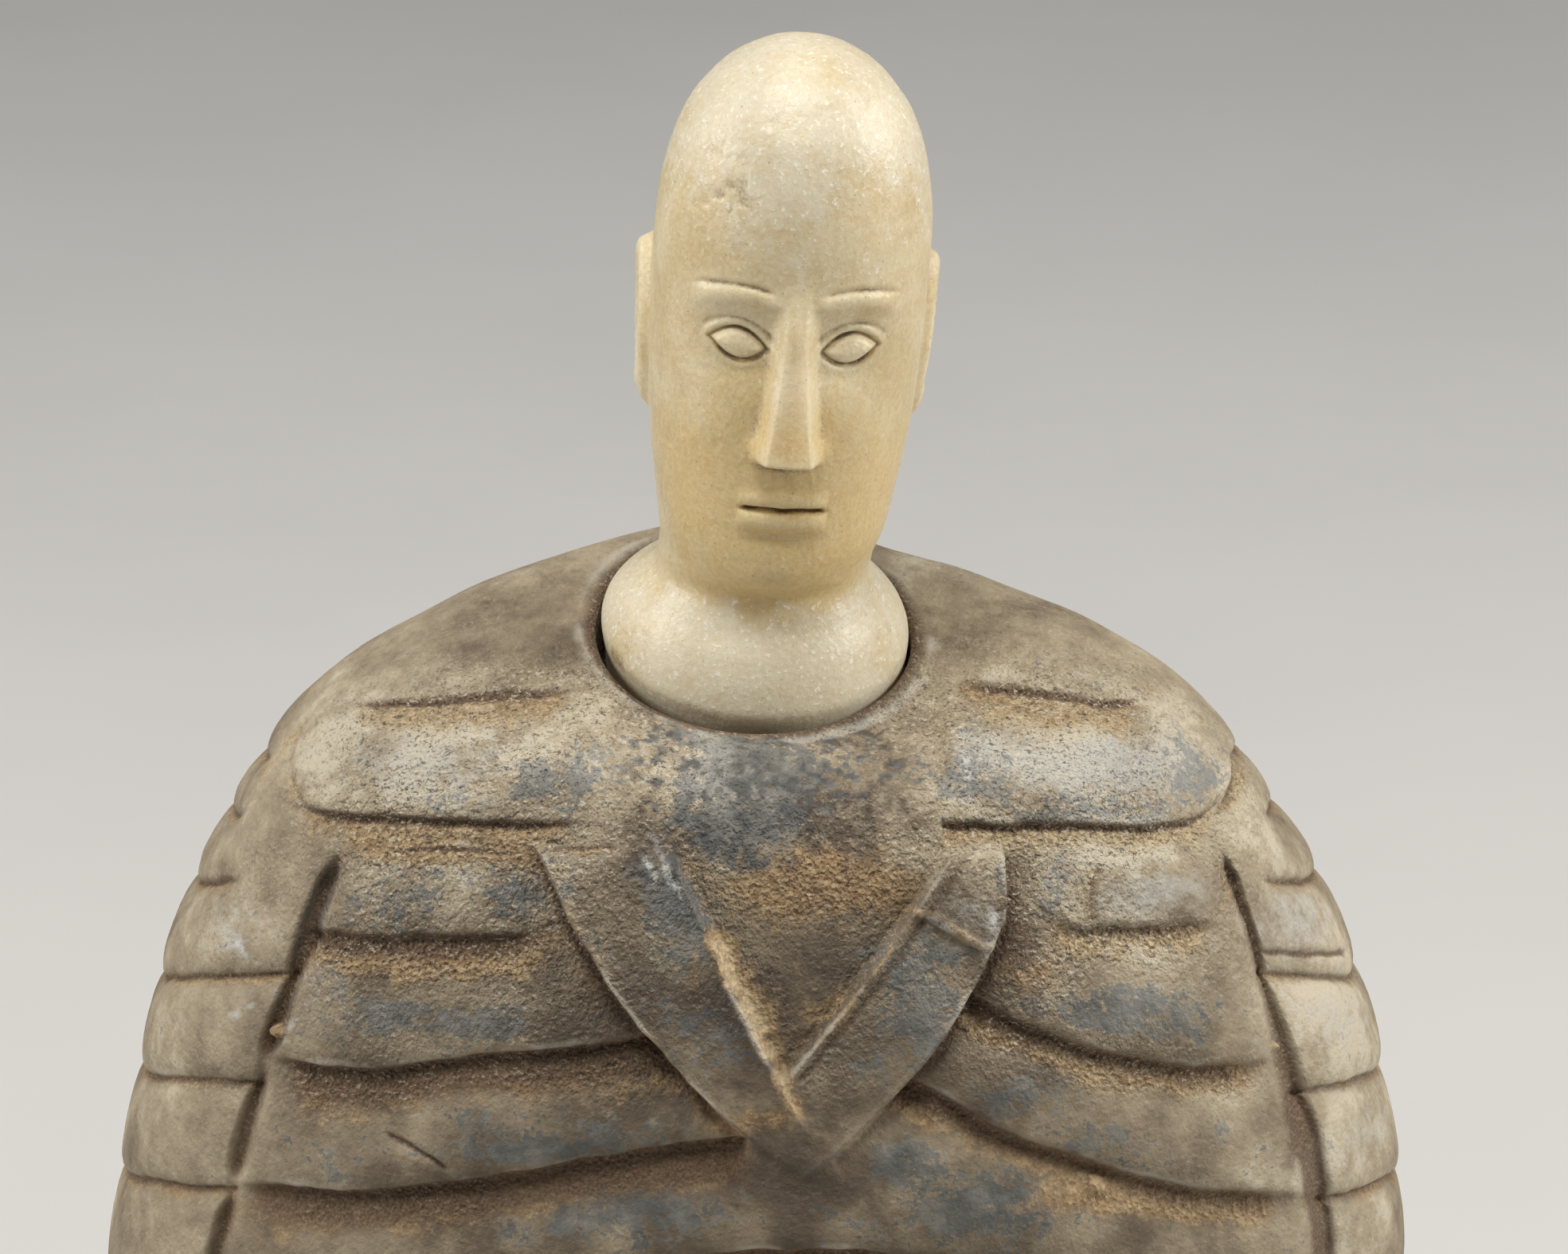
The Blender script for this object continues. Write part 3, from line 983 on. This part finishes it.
def head_looks(form, levels, ahead, raised, cuts, dents):
    """How dirty, stained, frosted and worn each place of the head is, from 0 to 1."""
    x, _, z = np.moveaxis(form, -1, 0)
    grime = unit(-raised * 1.3) * 0.6 + 0.8 * cuts * (0.35 + 0.65 * ease(-0.5, 0.4, noise(form, 1.4, 79)))
    grime += 0.6 * dents + 0.6 * bump(levels - 0.5, 1.2) * ease(0, 0.5, noise(form, 3, 76))
    stain = 1.2 * bump(z - NOSE_FOOT_Z + 4, 10) * ease(0.0, 0.7, ahead)
    stain += 0.5 * rough(form, 9.0, 77, 2) * ease(46, 30, z)
    stain += 0.9 * bump(levels - 7, 3.5) * bump(x, 7) * ease(0.0, 0.7, ahead)
    stain -= 0.7 * ease(7, 4, levels)
    frost = 0.9 * ease(32, 48, z) + 1.0 * ease(9, 4, levels) + 0.7 * rough(form, 6.0, 78, 3)
    return {"dirt": unit(grime), "stain": unit(stain), "frost": unit(frost), "worn": unit(raised * 1.5)}


def head():
    """The head on its flared neck, one pale stone, standing in the socket."""
    ring_count, spokes, faces_kept = HEAD_MESH
    turn = even_turns(spokes, lambda t: (np.cos(t), np.sin(t)), HEAD_CROWDING)
    heights, wide = np.array(HEAD_SECTIONS).T[:2]
    arc = np.concatenate([[0], np.cumsum(np.hypot(np.diff(heights), np.diff(wide)))])
    height = np.interp(np.linspace(0, arc[-1], ring_count + 1)[1:], arc, heights)
    turns, levels = np.meshgrid(turn, height)
    form = head_form(turns, levels)
    x, y, z = np.moveaxis(form, -1, 0)
    ahead = -np.sin(turns)
    facing = ease(0.15, 0.55, ahead) * ease(CHIN_Z - 1.5, CHIN_Z + 0.8, levels)
    relief, cuts = (part * facing for part in face_relief(x, z))
    ears = ear_relief(y, z) * ease(0.55, 0.8, np.abs(np.cos(turns)))

    shape = relief + ears
    raised = shape - softened(shape, *HEAD_AROUND)
    dents = ease(0.5, 0.8, noise(form, 1.5, 71)) * (0.3 + 0.7 * ease(-0.2, 0.5, noise(form, 8.0, 72)))
    spot_x, spot_up, spot_wide, spot_tall = WORN_SPOT
    worn_spot = bump(x - spot_x, spot_wide) * bump(z - BROW_Z - spot_up, spot_tall) * ease(0, 0.5, ahead)
    dents = np.maximum(dents * 0.5, worn_spot * ease(0.0, 0.5, noise(form, 1.0, 73)))
    scratch = np.stack([x * 3.0 + z * 0.5, y * 3.0, z * 0.3 - x * 0.2], -1)
    fine = 0.02 * rough(form, 2.2, 74, 2) + 0.012 * noise(scratch, 1.0, 75) - 0.13 * dents
    fine *= ease(-2.0, 1.0, levels)
    carved = np.stack([x + np.sign(x) * ears, y - relief + CUT_DEPTH * cuts, z], -1)
    carved += outward(form) * fine[..., None]
    crown = turn_head(np.array([0, -HEAD_FORWARD, CROWN_Z]), CROWN_Z)
    plug_foot = (0, -heights[-1] * math.sin(SOCKET_TILT), SOCKET_Z + heights[-1] * math.cos(SOCKET_TILT))
    marks = head_looks(form, levels, ahead, raised, cuts, dents)
    return closed_mesh("carved_head", turn_head(carved, levels), crown, plug_foot, marks, faces_kept)


class Shades:
    """Builds a material's nodes, one call for each."""

    def __init__(self, name):
        self.material = bpy.data.materials.new(name)
        self.material.use_nodes = True
        self.tree = self.material.node_tree
        self.shader = self.tree.nodes["Principled BSDF"]
        self.place = self.node("TexCoord", {}).outputs["Object"]

    def feed(self, node, inputs):
        """Links each input to a socket, or sets it to a number or colour."""
        for key, value in inputs.items():
            socket = node.inputs[key]
            if isinstance(value, bpy.types.NodeSocket):
                self.tree.links.new(value, socket)
            else:
                socket.default_value = (*value, 1) if socket.type == "RGBA" else value

    def node(self, kind, inputs, **settings):
        """A new node with those settings and inputs."""
        node = self.tree.nodes.new("ShaderNode" + kind)
        for name, setting in settings.items():
            setattr(node, name, setting)
        self.feed(node, inputs)
        return node

    def mark(self, name):
        """A painted mark of the mesh."""
        return self.node("Attribute", {}, attribute_name=name).outputs["Fac"]

    def cloud(self, size, detail=3.0, harsh=0.55, seed=0.0, lift=0.0, wander=0.0):
        """Noise with features of that size in millimetres, read that far above the place."""
        moved = (seed * 0.013, seed * 0.007, seed * 0.011 + lift * MM)
        place = self.node("Mapping", {"Vector": self.place, "Location": moved}).outputs["Vector"]
        inputs = {"Vector": place, "Scale": 1 / (size * MM), "Detail": detail}
        return self.node("TexNoise", {**inputs, "Roughness": harsh, "Distortion": wander}).outputs["Fac"]

    def grains(self, size, output="Distance"):
        """Cells of that size in millimetres."""
        return self.node("TexVoronoi", {"Vector": self.place, "Scale": 1 / (size * MM)}).outputs[output]

    def math(self, kind, a, b):
        """Two values put together."""
        return self.node("Math", {0: a, 1: b}, operation=kind).outputs[0]

    def times(self, a, b):
        """One value times another."""
        return self.math("MULTIPLY", a, b)

    def plus(self, value, cloud, strength):
        """Value with noise around it."""
        return self.math("ADD", value, self.times(self.math("SUBTRACT", cloud, 0.5), strength))

    def span(self, value, low, high, start=0.0, end=1.0):
        """Value from low to high becomes start to end, and stays between them."""
        inputs = {"Value": value, "From Min": low, "From Max": high, "To Min": start, "To Max": end}
        return self.node("MapRange", inputs, interpolation_type="SMOOTHSTEP").outputs["Result"]

    def ramp(self, value, colours):
        """A colour read off a row of (place, colour) stops."""
        node = self.node("ValToRGB", {"Fac": value})
        stops = node.color_ramp.elements
        while len(stops) < len(colours):
            stops.new(1.0)
        for stop, (place, colour) in zip(stops, colours):
            stop.position = place
            stop.color = (*colour, 1)
        return node.outputs["Color"]

    def mix(self, share, a, b, kind="MIX"):
        """Colour a with that share of colour b."""
        return self.node("Mix", {0: share, 6: a, 7: b}, data_type="RGBA", blend_type=kind).outputs[2]

    def over(self, colour, other, value, low, high, most=1.0):
        """The other colour over it as value goes from low to high, up to that share."""
        return self.mix(self.span(value, low, high, 0.0, most), colour, other)

    def bump(self, height, distance, strength, **normal):
        """A normal that follows a height of that many millimetres, over an earlier normal."""
        inputs = {"Strength": strength, "Distance": distance * MM, "Height": height}
        return self.node("Bump", {**inputs, **normal}).outputs["Normal"]

    def finish(self, colour, roughness, normal):
        """The material, with those on its shader."""
        self.feed(self.shader, {"Base Color": colour, "Roughness": roughness, "Normal": normal})
        return self.material


# The body's colours, dark and light where they vary, then the head's.
FROST = (0.46, 0.455, 0.42)
SLATE = (0.078, 0.084, 0.081), (0.182, 0.184, 0.168)
DRY_SLATE = (0.30, 0.30, 0.28)
DEEP_SLATE = (0.043, 0.048, 0.052)
OCHRE = (0.245, 0.15, 0.066), (0.43, 0.295, 0.145)
RUST = (0.205, 0.10, 0.036), (0.42, 0.25, 0.10)
PALE_OCHRE = (0.60, 0.495, 0.31)
SAND_GRAINS = (0.15, 0.088, 0.04), (0.58, 0.435, 0.245)
RUBBED_STONE = (0.52, 0.48, 0.40)
BROWN_DIRT = (0.068, 0.040, 0.023), (0.148, 0.090, 0.051)
WHITE_GLINT = (0.60, 0.61, 0.59)
LIT_CURLS = (0.30, 0.25, 0.18), (0.60, 0.53, 0.42)
SHADED_CURLS = (0.05, 0.042, 0.034)
BLACK_SPECKS = (0.035, 0.03, 0.025)
CREAM = (0.60, 0.475, 0.26), (0.70, 0.595, 0.385)
HONEY_STAIN = (0.68, 0.50, 0.22)
MILK = (0.73, 0.69, 0.575)
WHITE_CRYSTALS = (0.92, 0.88, 0.78)
WORN_CREAM = (0.85, 0.79, 0.64)
GRIME = (0.13, 0.075, 0.03)
BROWN_SPECKS = (0.22, 0.14, 0.06)
MOTTLE = (0.43, 0.43, 0.43), (0.57, 0.57, 0.57)
# The film over the stone, from thick and umber to thin and pale.
FILM_COLOURS = (
    (0.0, (0.085, 0.062, 0.042)),
    (0.3, (0.150, 0.115, 0.075)),
    (0.55, (0.26, 0.207, 0.137)),
    (0.8, (0.375, 0.310, 0.210)),
    (1.0, (0.54, 0.475, 0.355)),
)


def body_stone():
    """Dark stone rubbed smooth, under a brown to buff film and a sandy crust that fills what lies low."""
    s = Shades("body_stone")
    crust, slate, dirt, worn, sand, pale, gritty, tone = (s.mark(name) for name in BODY_MARKS)
    fleck = s.cloud(0.42, 2.0, 0.65)
    speck = s.cloud(0.26, 2.0, 0.6, 3.0)
    curl, over_curl = (s.cloud(0.55, 2.0, 0.6, 11.0, lift, wander=0.3) for lift in (0, 0.14))
    lit = s.math("SUBTRACT", curl, over_curl)
    patch = s.cloud(5.0, 4.0, 0.6, 5.0)
    drift = s.cloud(1.3, 4.0, 0.65, 7.0)
    cluster = s.cloud(2.6, 3.0, 0.6, 13.0)

    colour = s.ramp(s.plus(s.plus(tone, patch, 1.1), drift, 0.5), FILM_COLOURS)
    colour = s.over(colour, FROST, s.plus(pale, drift, 1.6), 0.2, 1.1, 0.7)
    bare = s.plus(s.plus(slate, drift, 2.4), fleck, 1.6)
    dark = s.over(*SLATE, cluster, 0.35, 0.68)
    dark = s.over(dark, DRY_SLATE, tone, 0.55, 1.0, 0.7)
    dark = s.over(dark, DEEP_SLATE, tone, 0.28, 0.02, 0.7)
    colour = s.over(colour, dark, bare, 0.45, 0.8, 0.85)

    ochre = s.over(*OCHRE, drift, 0.35, 0.65)
    rust = s.over(*RUST, cluster, 0.35, 0.65)
    ochre = s.over(ochre, PALE_OCHRE, tone, 0.6, 1.0, 0.6)
    soil = s.over(ochre, rust, s.plus(sand, drift, 0.8), 0.35, 0.8)
    laid = s.plus(s.plus(crust, cluster, 1.2), drift, 0.9)
    colour = s.over(colour, soil, laid, 0.15, 0.85, 0.88)
    grain_tone = s.node("SeparateColor", {0: s.grains(0.42, "Color")}).outputs[0]
    grain = s.mix(grain_tone, *SAND_GRAINS)
    colour = s.over(colour, grain, s.plus(laid, speck, 1.6), 0.4, 0.8, 0.5)

    colour = s.over(colour, RUBBED_STONE, s.plus(worn, cluster, 0.8), 0.15, 0.9, 0.6)
    brown = s.over(*BROWN_DIRT, speck, 0.35, 0.65)
    colour = s.over(colour, brown, s.plus(dirt, drift, 0.45), 0.0, 0.95, 0.88)
    colour = s.over(colour, WHITE_GLINT, s.plus(pale, speck, 1.2), 0.95, 1.6, 0.7)

    strength = s.span(gritty, 0.0, 1.0, 0.12, 0.75)
    upper = s.times(s.span(lit, 0.05, 0.15), s.span(bare, 0.45, 0.9, 1.0, 0.3))
    bright = s.over(*LIT_CURLS, tone, 0.2, 0.7)
    colour = s.mix(s.times(upper, strength), colour, bright)
    colour = s.mix(s.times(s.span(lit, -0.05, -0.15), strength), colour, SHADED_CURLS)
    black = s.times(s.span(speck, 0.40, 0.32), s.span(gritty, 0.0, 1.0, 0.05, 0.8))
    colour = s.mix(black, colour, BLACK_SPECKS)

    height = s.math("ADD", fleck, s.times(s.grains(0.42), s.span(laid, 0.15, 0.85)))
    height = s.math("ADD", height, s.times(curl, 1.2))
    height = s.times(height, s.span(gritty, 0.0, 1.0, 0.25, 1.0))
    normal = s.bump(speck, 0.06, 0.4, Normal=s.bump(height, 0.38, 0.9))
    return s.finish(colour, s.span(bare, 0.3, 0.9, 0.86, 0.62), normal)


def head_stone():
    """Cream calcite, a little translucent, with yellow staining, white crystals and dirt in what is cut."""
    s = Shades("head_stone")
    dirt, stain, frost, worn = (s.mark(name) for name in ("dirt", "stain", "frost", "worn"))
    veil = s.cloud(7.0, 4.0, 0.6)
    drift = s.cloud(1.6, 4.0, 0.6, 3.0)
    fleck = s.cloud(0.45, 2.0, 0.6, 5.0)
    speck = s.cloud(0.28, 2.0, 0.55, 9.0)

    colour = s.over(*CREAM, veil, 0.35, 0.65)
    colour = s.over(colour, HONEY_STAIN, s.plus(stain, drift, 0.9), 0.25, 0.95, 0.75)
    milk = s.plus(frost, drift, 1.2)
    colour = s.over(colour, MILK, milk, 0.4, 1.0, 0.5)
    crystal = s.times(s.span(fleck, 0.60, 0.68, 0.0, 0.6), s.span(milk, 0.1, 0.8, 0.25, 1.0))
    colour = s.mix(crystal, colour, WHITE_CRYSTALS)
    colour = s.mix(s.times(worn, 0.3), colour, WORN_CREAM)
    colour = s.over(colour, GRIME, s.plus(dirt, speck, 0.7), 0.25, 0.95, 0.85)
    colour = s.over(colour, BROWN_SPECKS, speck, 0.32, 0.26, 0.6)
    mottle = s.over(*MOTTLE, s.cloud(0.5, 3.0, 0.7, 17.0), 0.35, 0.65)
    colour = s.mix(0.6, colour, mottle, "OVERLAY")

    depths = {"Subsurface Radius": (1.0, 0.62, 0.28), "Subsurface Scale": 0.0035}
    s.feed(s.shader, {"Subsurface Weight": 0.28, **depths})
    normal = s.bump(drift, 0.18, 0.35, Normal=s.bump(fleck, 0.10, 0.6))
    return s.finish(colour, s.span(fleck, 0.35, 0.65, 0.36, 0.5), normal)


def floor_paint():
    """A plain matt paint with a faint mottle."""
    s = Shades("pale_floor")
    tone = s.over(tuple(0.97 * c for c in FLOOR_COLOUR), FLOOR_COLOUR, s.cloud(60.0), 0.3, 0.7)
    return s.finish(tone, 0.85, s.bump(s.cloud(1.5), 0.05, 0.1))


def soft_light(name, place, watts):
    """A square soft light that faces the figure."""
    data = bpy.data.lights.new(name, "AREA")
    data.size = LIGHT_SIZE
    data.energy = watts
    data.color = LIGHT_COLOUR
    lamp = placed(name, data)
    lamp.location = place
    aim = Vector(place) - Vector((0, NECK_Y * MM, LIGHT_AIM_Z))
    lamp.rotation_euler = aim.to_track_quat("Z", "Y").to_euler()


def stage():
    """A pale floor, soft studio light and the photograph's camera."""
    scene = bpy.context.scene
    mesh = bpy.data.meshes.new("floor")
    corners = [(FLOOR_HALF * x, FLOOR_HALF * y, 0) for x, y in ((-1, -1), (1, -1), (1, 1), (-1, 1))]
    mesh.from_pydata(corners, [], [(0, 1, 2, 3)])
    mesh.materials.append(floor_paint())
    placed("floor", mesh)

    for light in LIGHTS:
        soft_light(*light)
    scene.world = bpy.data.worlds.new("studio")
    scene.world.use_nodes = True
    sky = scene.world.node_tree.nodes["Background"].inputs
    sky["Color"].default_value = (*SKY_COLOUR, 1)
    sky["Strength"].default_value = SKY_STRENGTH
    scene.view_settings.view_transform = "Standard"

    data = bpy.data.cameras.new("camera")
    data.sensor_width = SENSOR_WIDTH
    data.lens = VIEW_DISTANCE / VIEW_WIDTH * SENSOR_WIDTH
    scene.camera = placed("camera", data)
    back = Vector((0, -math.cos(VIEW_ELEVATION), math.sin(VIEW_ELEVATION)))
    target = Vector(VIEW_TARGET) + Vector((0, NECK_Y, 0))
    scene.camera.location = (target + back * VIEW_DISTANCE) * MM
    scene.camera.rotation_euler = back.to_track_quat("Z", "Y").to_euler()


def dress(piece, node, material):
    """The piece stands for its CAD node and takes that material."""
    piece.data.materials.append(material)
    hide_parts(node)
    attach(piece, "root")


dress(body(), "robed_body", body_stone())
dress(head(), "head", head_stone())
stage()
